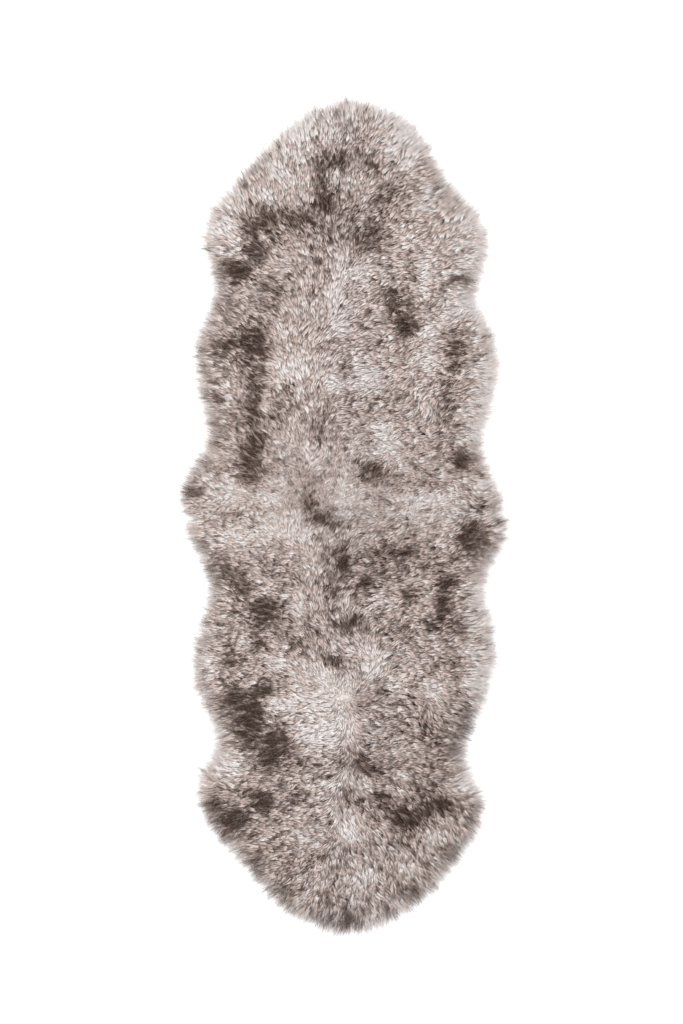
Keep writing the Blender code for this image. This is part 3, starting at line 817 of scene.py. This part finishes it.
def finish_rough(graph, shader, tint, relief, depth, strength):
    """Gives the shader its colour, and bumps of this relief, depth and strength."""
    graph.feed(shader.inputs["Base Color"], tint)
    bump = graph.add("ShaderNodeBump", {"Height": relief, "Distance": depth, "Strength": strength})
    graph.feed(shader.inputs["Normal"], bump)


def wool_material(name, tints):
    """Wool by its own map. V runs from a lock's root to its tip. The left half of U holds the
    grey locks from pale to dark, and the right half the beige ones."""
    material, graph, shader = new_material(name, 0.85)
    shader.inputs["Specular IOR Level"].default_value = 0.1
    shader.inputs["Subsurface Weight"].default_value = 0.5
    shader.inputs["Subsurface Radius"].default_value = (LIGHT_REACH, LIGHT_REACH, LIGHT_REACH)
    shader.inputs["Subsurface Scale"].default_value = 1.0
    uv = graph.add("ShaderNodeUVMap", uv_map="OFBake")
    place = graph.add("ShaderNodeSeparateXYZ", {0: uv}).node
    across, along = place.outputs[0], place.outputs[1]
    warm = graph.math("GREATER_THAN", across, 0.5)
    tone = graph.math("FRACT", graph.product(across, 2.0))

    def lottery(scale, offset):
        """A lot for each lock, by its own place across the map."""
        return graph.noise(graph.joined(graph.math("MULTIPLY_ADD", across, scale, offset)), 1.0)

    pale = graph.mix_colours(warm, tuple(tints.cool), tuple(tints.pale))
    beige = graph.mix_colours(warm, tuple(tints.pale), tuple(tints.warm))
    pale = graph.mix_colours(graph.ramp(lottery(scale=170, offset=41.0), 0.45, 0.75), pale, beige)
    pale = graph.mix_colours(graph.ramp(tone, 0.0, WHITE_TO), tuple(tints.white), pale)
    brown = graph.ramp(tone, MID_FROM, 1.0, 0.0, MID_SHARE, smooth=False)
    pale = graph.mix_colours(brown, pale, tuple(tints.mid))
    browner = graph.ramp(lottery(scale=190, offset=77.0), 0.35, 0.7)
    dark = graph.mix_colours(browner, tuple(tints.dark), tuple(tints.brown))
    start = graph.ramp(tone, 0.05, 1.0, *DARK_FROM, smooth=False)
    past = graph.math("SUBTRACT", along, start)
    tipped = graph.ramp(past, *DARK_FADE)
    strength = graph.ramp(tone, 0.0, 0.6, *DARK_SHARE)
    body = graph.mix_colours(graph.product(tipped, strength), pale, dark)
    shade = graph.ramp(lottery(scale=520, offset=19.0), 0.25, 0.75, *SHADE_RANGE, smooth=False)
    shade = graph.add("ShaderNodeCombineColor", {0: shade, 1: shade, 2: shade})
    graph.feed(shader.inputs["Base Color"], graph.mix_colours(1.0, body, shade, "MULTIPLY"))
    return material


def ground_material(tints):
    """Matted underwool in painted shade: darker than the wool, and darker still under darker locks by the
    tone of the locks over it, streaked by fine noise.
    """
    material, graph, shader = new_material("matted_underwool", 0.95)
    place = graph.add("ShaderNodeTexCoord", output="Object")
    streaks = graph.noise(place, 160.0, 4.0)
    tone = graph.add("ShaderNodeAttribute", output="Fac", attribute_name="tone")
    # painted shade: the underwool's colours are the wool's colours darkened for the shade deep under the
    # locks
    pale = tuple(GROUND_PAINTED_SHADE * channel for channel in tints.white)
    deep_painted_shade = tuple(GROUND_DEEP_PAINTED_SHADE * channel for channel in tints.warm)
    tint = graph.mix_colours(graph.ramp(tone, 0.1, 1.0), pale, deep_painted_shade)
    tint = graph.mix_colours(graph.ramp(streaks, 0.35, 0.7, 0.0, 0.6), tint, deep_painted_shade)
    finish_rough(graph, shader, tint, streaks, depth=0.002, strength=0.8)
    return material


def suede_material(tints):
    """The skin side: soft nap with cloudy patches and faint creases."""
    material, graph, shader = new_material("tanned_suede", 0.9)
    place = graph.add("ShaderNodeTexCoord", output="Object")
    clouds = graph.noise(place, 9.0, 6.0)
    nap = graph.noise(place, 900.0, 3.0)
    creases = graph.add("ShaderNodeTexVoronoi", {"Vector": place, "Scale": 42.0}, "Distance")
    darker = tuple(SUEDE_CLOUD * channel for channel in tints.suede)
    tint = graph.mix_colours(graph.ramp(clouds, 0.35, 0.65), darker, tuple(tints.suede))
    tint = graph.mix_colours(graph.ramp(nap, 0.3, 0.7, 0.0, 0.25), tint, NAP_TINT)
    relief = graph.math("MULTIPLY_ADD", creases, 0.35, nap)
    finish_rough(graph, shader, tint, relief, depth=0.0006, strength=0.7)
    return material


def thread_material():
    """Waxed linen thread, darker where it is soiled."""
    material, graph, shader = new_material("linen_thread", 0.6)
    place = graph.add("ShaderNodeTexCoord", output="Object")
    soil = graph.noise(place, 30.0, 3.0)
    twist = graph.add("ShaderNodeTexWave", {"Vector": place, "Scale": 900.0}, "Fac")
    tint = graph.mix_colours(graph.ramp(soil, 0.35, 0.65), *THREAD_TINTS)
    finish_rough(graph, shader, tint, twist, depth=0.0001, strength=0.6)
    return material


# ---- Hides ----------------------------------------------------------------------------------
def lower_side(x, y):
    """Height of a hide's lower side over the floor."""
    lift, reach = SEAM_LIFT
    height = lift * max(0.0, 1 - abs(y) / reach) ** 2
    rise, wave, reach = PUCKER
    height += rise * (0.5 + 0.5 * math.sin(x * math.tau / wave)) * math.exp(-abs(y) / reach)
    rise, size = SKIN_RISE
    return height + rise * max(0.0, noise.noise(Vector((x, y, 5)) / size))


def skin_mesh(name, plate):
    """A hide with the outline and top of its CAD plate, and an uneven lower side lifted at the
    seam."""
    low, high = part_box(plate)
    bm = bmesh.new()
    bm.from_mesh(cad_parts[plate].data)
    bmesh.ops.remove_doubles(bm, verts=bm.verts, dist=WELD)
    bmesh.ops.delete(bm, geom=[f for f in bm.faces if f.normal.z > FACES_DOWN], context="FACES")
    bmesh.ops.dissolve_faces(bm, faces=bm.faces)
    lines = []
    for axis in (0, 1):
        start = round(low[axis] / SKIN_GRID) * SKIN_GRID
        steps = math.ceil((high[axis] - low[axis]) / SKIN_GRID)
        lines += [(axis, start + k * SKIN_GRID) for k in range(1, steps + 1)]
    lines += [(1, sign * row) for sign in (-1, 1) for row in SKIN_LINES]
    for axis, line in lines:
        if low[axis] < line < high[axis]:
            at, way = Vector((0, 0, 0)), Vector((0, 0, 0))
            at[axis], way[axis] = line, 1
            whole = bm.verts[:] + bm.edges[:] + bm.faces[:]
            bmesh.ops.bisect_plane(bm, geom=whole, plane_co=at, plane_no=way)
    bmesh.ops.remove_doubles(bm, verts=bm.verts, dist=CUT_WELD)
    bm.verts.index_update()
    bottom = [Vector((v.co.x, v.co.y, lower_side(v.co.x, v.co.y))) for v in bm.verts]
    top = [Vector((v.co.x, v.co.y, high.z)) for v in bm.verts]
    count = len(bottom)
    faces = [[v.index for v in face.verts] for face in bm.faces]
    walls = []
    for edge in bm.edges:
        if edge.is_boundary:
            a, b = (loop.vert.index for loop in (edge.link_loops[0], edge.link_loops[0].link_loop_next))
            walls.append([b, a, a + count, b + count])
    bm.free()
    mesh = bpy.data.meshes.new(name)
    upper = [[k + count for k in reversed(face)] for face in faces]
    mesh.from_pydata(bottom + top, [], faces + upper + walls)
    return mesh


def stitch_tree():
    """Overcast stitches along X over a seam, each a bent closed piece of thread."""
    tree, g, given = new_tree(
        "overcast_stitches",
        (
            ("From", "Float", -0.3),
            ("To", "Float", 0.3),
            ("Spacing", "Float", 0.004),
            ("Slant", "Float", 0.002),
            ("Width", "Float", 0.006),
            ("Thread", "Float", 0.0003),
            ("Material", "Material", None),
        ),
    )
    reach = g.math("SUBTRACT", given["To"], given["From"])
    count = g.math("FLOOR", g.math("DIVIDE", reach, given["Spacing"]))
    line = {
        "Count": count,
        "Start Location": g.joined(given["From"]),
        "Offset": g.joined(given["Spacing"]),
    }
    points = g.add("GeometryNodeMeshLine", line, mode="OFFSET", count_mode="TOTAL")
    aside, back = (g.product(given["Slant"], half) for half in (0.5, -0.5))
    near, far = (g.product(given["Width"], half) for half in (-0.5, 0.5))
    arc = {
        "Resolution": 7,
        "Start": g.joined(back, near, STITCH_LEVELS[0]),
        "Middle": (0.0, 0.0, STITCH_LEVELS[1]),
        "End": g.joined(aside, far, STITCH_LEVELS[0]),
    }
    path = g.add("GeometryNodeCurveQuadraticBezier", arc)
    section = g.add("GeometryNodeCurvePrimitiveCircle", {"Resolution": 6, "Radius": given["Thread"]})
    thread = g.add("GeometryNodeCurveToMesh", {0: path, 1: section, "Fill Caps": True})
    stray_x, stray_y = (g.chance(seed, -stray, stray) for seed, stray in STITCH_STRAYS)
    points = g.add("GeometryNodeSetPosition", {"Geometry": points, "Offset": g.joined(stray_x, stray_y)})
    stitches = g.add("GeometryNodeInstanceOnPoints", {"Points": points, "Instance": thread})
    stitches = g.add("GeometryNodeRealizeInstances", {"Geometry": stitches})
    end_tree(g, stitches, given["Material"])
    return tree


# ---- Ground of the wool ---------------------------------------------------------------------
def matted_form(settings):
    """Both fleeces as one form without their locks, drawn in to where the locks take root."""
    bm = bmesh.new()
    for pelt, end in PELTS.items():
        count = len(bm.verts)
        bm.from_mesh(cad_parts["fleece_" + pelt].data)
        bm.verts.ensure_lookup_table()
        for vert in bm.verts[count:]:
            vert.co.y -= end * SEAM_LAP
    bmesh.ops.remove_doubles(bm, verts=bm.verts, dist=WELD)
    mesh = bpy.data.meshes.new("matted_form")
    bm.to_mesh(mesh)
    bm.free()
    form = piece_from("matted_form", mesh)
    remesh = form.modifiers.new("Matted", "REMESH")
    remesh.mode = "VOXEL"
    remesh.voxel_size = settings.ground_voxel
    smooth = form.modifiers.new("Combed", "SMOOTH")
    smooth.factor, smooth.iterations = COMBING
    mesh = evaluated_copy(form, "matted_form")
    bpy.data.objects.remove(form)
    sink = Vector((settings.ground_inset, settings.ground_inset, settings.ground_depth))
    places = [vert.co - vert.normal * sink for vert in mesh.vertices]
    for vert, place in zip(mesh.vertices, places):
        vert.co = place
    mesh.update()
    return mesh


def matted_ground(name, form, end, skin_top):
    """The half of the matted form that one pelt has, laid on its hide."""
    bm = bmesh.new()
    bm.from_mesh(form)
    whole = bm.verts[:] + bm.edges[:] + bm.faces[:]
    bmesh.ops.bisect_plane(
        bm, geom=whole, plane_co=(0, end * SEAM_GAP, 0), plane_no=(0, -end, 0), clear_outer=True
    )
    cut = [edge for edge in bm.edges if edge.is_boundary]
    bmesh.ops.holes_fill(bm, edges=cut, sides=0)
    bmesh.ops.triangulate(bm, faces=[face for face in bm.faces if len(face.verts) > 4])
    bm.normal_update()
    for vert in bm.verts:
        if vert.normal.z < FACES_DOWN or vert.co.z < skin_top:
            vert.co.z = skin_top + LAY_GAP
    mesh = bpy.data.meshes.new(name)
    bm.to_mesh(mesh)
    bm.free()
    for polygon in mesh.polygons:
        polygon.use_smooth = True
    mesh.update()
    return mesh


def set_attribute(mesh, name, values):
    values = np.asarray(values, np.float32)
    kind, key = ("FLOAT_VECTOR", "vector") if values.ndim > 1 else ("FLOAT", "value")
    mesh.attributes.new(name, kind, "POINT").data.foreach_set(key, values.ravel())


def comb_ground(mesh, end, fence):
    """Writes to the ground's vertices the lie of the wool, its tone, where it grows, how near the
    rim it is and how much room it has before the edge of the rug."""
    combed = {name: [] for name in GROUND_ATTRIBUTES}
    low, high = (pick(vert.co.z for vert in mesh.vertices) for pick in (min, max))
    for vert in mesh.vertices:
        x, y = vert.co.x, vert.co.y
        place = Vector((x, y, 0))
        nearest, _, _, distance = fence.find_nearest(place)
        outward = (nearest - place).normalized()
        rim = math.exp(-((distance / RIM_REACH) ** 4))
        lie = (lie_of_wool(x, y) + outward * RIM_TURN * rim).normalized()
        tip = place + lie * TIP_SHIFT
        tone = tone_of_wool(tip.x, tip.y) + SEAM_TONE[1] * math.exp(-((y / SEAM_TONE[0]) ** 2))
        # painted light: the wool is paler towards the rim, partly its own colour and partly the bright
        # floor glowing into the edge
        tone += RIM_PALE_AND_PAINTED_LIGHT[1] * math.exp(-((distance / RIM_PALE_AND_PAINTED_LIGHT[0]) ** 2))
        _, _, _, room = fence.ray_cast(place, lie)
        beside_seam = max(0.0, 1 - abs(y) / SEAM_STAND)
        stand = vert.normal.lerp(Vector((0, 0, 1)), beside_seam).normalized()
        at_seam = beside_seam > 0.5 and vert.co.z < low + SEAM_BARE * (high - low)
        bare = vert.normal.z < BARE_DOWN or at_seam
        lean = lean_of_wool(x, y)
        cover = 0 if bare else 1 + STAND_COVER * (1 - lean)
        here = (lie * lean, stand, tone, warmth_of_wool(x, y), cover, rim, room, looseness(x, y))
        for values, value in zip(combed.values(), here):
            values.append(value)
    for name, values in combed.items():
        set_attribute(mesh, name, values)


# ---- Locks ----------------------------------------------------------------------------------
def wool_tree(name, bends):
    """Locks scattered over a combed ground. Each is closed and three-sided: a plain taper, or a
    leaf with this many bends. The locks of a clump share its lie and tone and draw together
    towards their tips."""
    tree, g, given = new_tree(
        name,
        (
            ("Density", "Float", 10000.0),
            ("Length", "Float", 0.03),
            ("Width", "Float", 0.003),
            ("Rise", "Float", 0.45),
            ("Lean", "Float", 0.85),
            ("Droop", "Float", 0.1),
            ("Stray", "Float", 0.2),
            ("Clump", "Float", 0.011),
            ("Draw", "Float", 0.85),
            ("Rim only", "Float", 0.0),
            ("Least gap", "Float", -0.006),
            ("Most gap", "Float", 0.026),
            ("Seed", "Int", 0),
            ("Material", "Material", None),
        ),
    )
    rim = g.attribute("rim")
    here = g.math("MAXIMUM", g.math("SUBTRACT", 1.0, given["Rim only"]), rim)
    density = g.product(g.attribute("cover"), here, given["Density"])
    spread = {"Mesh": given["Geometry"], "Density": density, "Seed": given["Seed"]}
    points = g.add("GeometryNodeDistributePointsOnFaces", spread, "Points")
    root = g.add("GeometryNodeInputPosition")
    up = g.attribute("stand", "FLOAT_VECTOR")

    # the lock's clump: its middle and three lots drawn for it
    fine = g.math("DIVIDE", 1.0, given["Clump"])
    cell = g.add("ShaderNodeTexVoronoi", {"Vector": root, "Scale": fine}).node
    middle = cell.outputs["Position"]
    lots = g.add("ShaderNodeSeparateXYZ", {0: cell.outputs["Color"]}).node.outputs

    # the way it lies: the row's lie, a drift over the pelt, its clump's own turn and a stray
    turn = g.product(g.chance(1, -1.0, 1.0), given["Stray"])
    swings = [(g.noise(middle, scale), swing) for scale, swing in DRIFTS] + [(lots[0], CLUMP_TURN)]
    for lot, swing in swings:
        turn = g.math("ADD", turn, g.product(g.math("SUBTRACT", lot, 0.5), swing))
    turn = g.product(turn, g.math("MULTIPLY_ADD", rim, -RIM_SETTLED, g.attribute("loose")))
    laid = {"Vector": g.attribute("lie", "FLOAT_VECTOR"), "Angle": turn}
    comb = g.add("ShaderNodeVectorRotate", laid, rotation_type="Z_AXIS")
    height_lot = g.add("ShaderNodeTexWhiteNoise", {"Vector": middle}, noise_dimensions="3D")
    clump_size = g.ramp(lots[1], 0.0, 1.0, *CLUMP_LENGTHS, smooth=False)
    size = g.product(given["Length"], clump_size, g.chance(2, *LOCK_LENGTHS))
    steep = g.ramp(height_lot, 0.0, 1.0, *CLUMP_HEIGHTS, smooth=False)
    steep = g.product(steep, g.chance(3, *LOCK_HEIGHTS))
    lean = g.vector("LENGTH", comb, output="Value")
    draw = g.vector("MULTIPLY", g.vector("SUBTRACT", middle, root), LEVEL)
    draw = g.scaled(draw, g.product(lean, given["Draw"], g.chance(4, *LOCK_DRAW)))

    # how far out its tip may come before the edge of the rug
    rising = g.product(given["Rise"], steep, size)
    leaning = g.product(given["Lean"], size)
    tip = g.summed(g.scaled(up, g.product(rising, 1 - ARCH)), g.scaled(comb, leaning))
    tip = g.vector("LENGTH", g.vector("MULTIPLY", tip, LEVEL), output="Value")
    room = g.math("SUBTRACT", g.attribute("room"), g.chance(6, given["Least gap"], given["Most gap"]))
    trim = g.math("MINIMUM", 1.0, g.math("DIVIDE", g.math("MAXIMUM", room, LEAST_REACH), tip))

    # tone: the ground's, a swing from tuft to tuft, its clump's lot and its own
    speck = g.math("SUBTRACT", g.noise(middle, TUFT_SWING[0], 1.0), 0.5)
    tone = g.math("MULTIPLY_ADD", speck, TUFT_SWING[1], g.attribute("tone"))
    for lot, (swing, power) in ((lots[2], CLUMP_TONE), (g.chance(5), LOCK_TONE)):
        lot = g.math("SUBTRACT", g.math("POWER", lot, power), 1 / (1 + power))
        tone = g.math("MULTIPLY_ADD", lot, swing, tone)
    tone = g.math("MINIMUM", g.math("MAXIMUM", tone, TONE_ENDS[0]), TONE_ENDS[1])
    warmth_lot = g.math("MULTIPLY_ADD", lots[1], *WARMTH_LOT)
    warm = g.math("GREATER_THAN", g.attribute("warmth"), warmth_lot)
    band = g.product(g.math("ADD", tone, warm), 0.5)

    vectors = {"root": root, "up": up, "comb": comb, "draw": draw}
    numbers = {"rising": rising, "leaning": leaning, "size": size, "trim": trim, "band": band}
    for values, kind in ((vectors, "FLOAT_VECTOR"), (numbers, "FLOAT")):
        for label, value in values.items():
            points = g.store(points, label, value, kind)
    if bends:
        leaf = g.add("GeometryNodeMeshUVSphere", {"Segments": 3, "Rings": bends + 1, "Radius": 0.5}, "Mesh")
        form = g.add("GeometryNodeTransform", {"Geometry": leaf, "Translation": (0.0, 0.0, 0.5)})
    else:
        cone = {"Vertices": 3, "Radius Top": 0.0, "Radius Bottom": 0.5, "Depth": 1.0}
        form = g.add("GeometryNodeMeshCone", cone, "Mesh")
    locks = g.add("GeometryNodeInstanceOnPoints", {"Points": points, "Instance": form})
    locks = g.add("GeometryNodeRealizeInstances", {"Geometry": locks})

    # a point's place in the upright form gives its place in the lock's map and along its spine
    root = g.attribute("root", "FLOAT_VECTOR")
    local = g.vector("SUBTRACT", g.add("GeometryNodeInputPosition"), root)
    part = g.add("ShaderNodeSeparateXYZ", {0: local}).node
    along = part.outputs[2]
    squared = g.product(along, along)
    up, comb = g.attribute("up", "FLOAT_VECTOR"), g.attribute("comb", "FLOAT_VECTOR")
    band = g.math("MULTIPLY_ADD", part.outputs[0], BAND_WIDTH, g.attribute("band"))
    locks = g.store(locks, "OFBake", g.joined(band, along), "FLOAT2", "CORNER")

    rising = g.product(g.attribute("rising"), g.math("MULTIPLY_ADD", squared, -ARCH, along))
    leaning = g.math("MULTIPLY_ADD", squared, BEND, g.product(along, 1 - BEND))
    leaning = g.product(g.attribute("leaning"), leaning)
    falling = g.product(given["Droop"], g.attribute("size"), squared)
    trim = g.attribute("trim")
    reach = g.summed(g.scaled(up, rising), g.scaled(comb, leaning))
    reach = g.vector("MULTIPLY", reach, g.joined(trim, trim, 1.0))
    fall = g.joined(z=g.product(falling, -1.0))
    spine = g.summed(root, reach, fall, g.scaled(g.attribute("draw", "FLOAT_VECTOR"), squared))
    lean = g.vector("LENGTH", comb, output="Value")
    width = g.product(given["Width"], g.ramp(lean, 0.0, 1.0, STAND_WIDTH, 1.0, smooth=False))
    spot = g.add("ShaderNodeSeparateXYZ", {0: spine}).node
    kept = g.math("MAXIMUM", spot.outputs[2], g.math("MULTIPLY_ADD", width, 0.5, FLOOR_GAP))
    spine = g.joined(spot.outputs[0], spot.outputs[1], kept)

    # its cross section
    way = g.vector("NORMALIZE", g.vector("ADD", g.scaled(up, LOCK_RISE), comb))
    across = g.vector("NORMALIZE", g.vector("CROSS_PRODUCT", comb, (0.0, 0.0, 1.0)))
    over = g.vector("CROSS_PRODUCT", way, across)
    sideways = g.scaled(across, g.product(part.outputs[0], width))
    upwards = g.scaled(over, g.product(part.outputs[1], g.product(width, LOCK_THICK)))
    place = g.summed(spine, sideways, upwards)
    locks = g.add("GeometryNodeSetPosition", {"Geometry": locks, "Position": place})
    for used in (*vectors, *numbers, *GROUND_ATTRIBUTES):
        locks = g.add("GeometryNodeRemoveAttribute", {"Geometry": locks, "Name": used})
    locks = g.add("GeometryNodeSetShadeSmooth", {0: locks})
    end_tree(g, locks, given["Material"])
    return tree


def grow_coat(scene, coat, bends, form):
    """One coat of wool on both pelts, by the sizes in its settings."""
    wool, kind = scene.sheepskin_wool, coat + "_wool"
    sizes = {size: getattr(wool, f"{coat}_{size.lower()}") for size in ("Density", "Length", "Width")}
    material = wool_material(kind, scene.sheepskin_colours)
    tree = wool_tree(kind, bends)
    for seed, pelt in zip(WOOL_SEEDS, PELTS):
        ground = bpy.data.objects["underwool_" + pelt].data
        values = {**sizes, "Clump": wool.clump, "Seed": seed, **form}
        grown(kind + "_" + pelt, ground, tree, values, material)
    return {"FINISHED"}


# ---- Operators ------------------------------------------------------------------------------
class SHEEPSKIN_OT_hides(bpy.types.Operator):
    """Makes the two tanned hides and the stitches that join them"""

    bl_idname = "sheepskin.hides"
    bl_label = "Hides"

    def execute(self, context):
        suede = suede_material(context.scene.sheepskin_colours)
        ends = []
        for pelt in PELTS:
            mesh = skin_mesh("skin_" + pelt, "hide_" + pelt)
            mesh.materials.append(suede)
            skin = piece_from("skin_" + pelt, mesh)
            hand_over(skin)
            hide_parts("hide_" + pelt)
            ends += [vert.co.x for vert in mesh.vertices if abs(vert.co.y) < SKIN_LINES[0] / 2]
        left, right = min(ends) + SEAM_ENDS[0], max(ends) - SEAM_ENDS[1]
        values = {"From": left, "To": right, **STITCH_INPUTS}
        start = bpy.data.meshes.new("seam")
        grown("seam_stitches", start, stitch_tree(), values, thread_material())
        return {"FINISHED"}


class SHEEPSKIN_OT_underwool(bpy.types.Operator):
    """Makes the matted underwool of each pelt and combs it"""

    bl_idname = "sheepskin.underwool"
    bl_label = "Underwool"

    def execute(self, context):
        material = ground_material(context.scene.sheepskin_colours)
        fence = outline_fence()
        form = matted_form(context.scene.sheepskin_wool)
        for pelt, end in PELTS.items():
            node = "fleece_" + pelt
            name = "underwool_" + pelt
            mesh = matted_ground(name, form, end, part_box("hide_" + pelt)[1].z)
            comb_ground(mesh, end, fence)
            mesh.materials.append(material)
            ground = piece_from(name, mesh)
            hand_over(ground)
            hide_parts(node)
        return {"FINISHED"}


class SHEEPSKIN_OT_short_wool(bpy.types.Operator):
    """Grows the fine short wool between the locks"""

    bl_idname = "sheepskin.short_wool"
    bl_label = "Short wool"

    def execute(self, context):
        return grow_coat(context.scene, "short", 0, SHORT_FORM)


class SHEEPSKIN_OT_long_wool(bpy.types.Operator):
    """Grows the long locks that lie on top"""

    bl_idname = "sheepskin.long_wool"
    bl_label = "Long wool"

    def execute(self, context):
        return grow_coat(context.scene, "long", 1, LONG_FORM)


class SHEEPSKIN_OT_rim_wool(bpy.types.Operator):
    """Grows the loose pale wool that stands out round the rim, pale partly as painted light of the bright
    floor
    """

    bl_idname = "sheepskin.rim_wool"
    bl_label = "Rim wool"

    def execute(self, context):
        return grow_coat(context.scene, "rim", 1, RIM_FORM)


class SHEEPSKIN_OT_stage(bpy.types.Operator):
    """Sets the plain floor, the soft studio light and the camera straight above"""

    bl_idname = "sheepskin.stage"
    bl_label = "Stage"

    def execute(self, context):
        stage = context.scene.sheepskin_stage
        mesh = bpy.data.meshes.new("floor")
        reach = stage.floor_reach
        sides = ((-1, -1), (1, -1), (1, 1), (-1, 1))
        corners = [(reach * x, reach * y, -FLOOR_DROP) for x, y in sides]
        mesh.from_pydata(corners, [], [(0, 1, 2, 3)])
        floor = piece_from("floor", mesh)
        material, _, shader = new_material("floor", 0.9)
        shader.inputs["Base Color"].default_value = (*context.scene.sheepskin_colours.floor, 1)
        mesh.materials.append(material)

        world = bpy.data.worlds.new("studio")
        world.use_nodes = True
        sky = world.node_tree.nodes["Background"]
        sky.inputs["Color"].default_value = (1, 1, 1, 1)
        sky.inputs["Strength"].default_value = stage.sky
        context.scene.world = world

        lamp = bpy.data.lights.new("softbox", "AREA")
        lamp.shape = "DISK"
        lamp.size = SOFTBOX_SIZE
        lamp.energy = stage.key
        softbox = bpy.data.objects.new("softbox", lamp)
        softbox.location = SOFTBOX_PLACE
        softbox.rotation_euler = (-softbox.location).to_track_quat("-Z", "Y").to_euler()
        context.scene.collection.objects.link(softbox)

        width, height = PHOTO_SIZE
        centre = on_rug(width / 2, height / 2)
        camera = bpy.data.cameras.new("camera")
        camera.lens = stage.lens
        wool_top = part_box("fleece_head_end")[1].z
        away = height * PIXEL * camera.lens / camera.sensor_width
        camera.clip_end = SIGHT
        eye = bpy.data.objects.new("camera", camera)
        eye.location = (*centre, away + wool_top / 2)
        context.scene.collection.objects.link(eye)
        context.scene.camera = eye
        context.scene.view_settings.view_transform = "Standard"
        return {"FINISHED"}


class SHEEPSKIN_PT_panel(bpy.types.Panel):
    """Lists the steps and their settings"""

    bl_label = "Sheepskin"
    bl_space_type = "VIEW_3D"
    bl_region_type = "UI"
    bl_category = "Sheepskin"

    def draw(self, context):
        for operator in OPERATORS:
            self.layout.operator(operator.bl_idname)
        for group in (
            context.scene.sheepskin_wool,
            context.scene.sheepskin_colours,
            context.scene.sheepskin_stage,
        ):
            for name in group.__annotations__:
                self.layout.prop(group, name)


SETTINGS = {
    "sheepskin_wool": SheepskinWoolSettings,
    "sheepskin_colours": SheepskinColourSettings,
    "sheepskin_stage": SheepskinStageSettings,
}
OPERATORS = (
    SHEEPSKIN_OT_hides,
    SHEEPSKIN_OT_underwool,
    SHEEPSKIN_OT_short_wool,
    SHEEPSKIN_OT_long_wool,
    SHEEPSKIN_OT_rim_wool,
    SHEEPSKIN_OT_stage,
)
CLASSES = (*SETTINGS.values(), *OPERATORS, SHEEPSKIN_PT_panel)


def register():
    for item in CLASSES:
        bpy.utils.register_class(item)
    for name, group in SETTINGS.items():
        setattr(bpy.types.Scene, name, bpy.props.PointerProperty(type=group))


def unregister():
    for name in SETTINGS:
        delattr(bpy.types.Scene, name)
    for item in reversed(CLASSES):
        bpy.utils.unregister_class(item)


def main():
    register()
    bpy.ops.sheepskin.hides()
    bpy.ops.sheepskin.underwool()
    bpy.ops.sheepskin.short_wool()
    bpy.ops.sheepskin.long_wool()
    bpy.ops.sheepskin.rim_wool()
    bpy.ops.sheepskin.stage()
    bpy.context.view_layer.update()


if __name__ == "__main__":
    main()
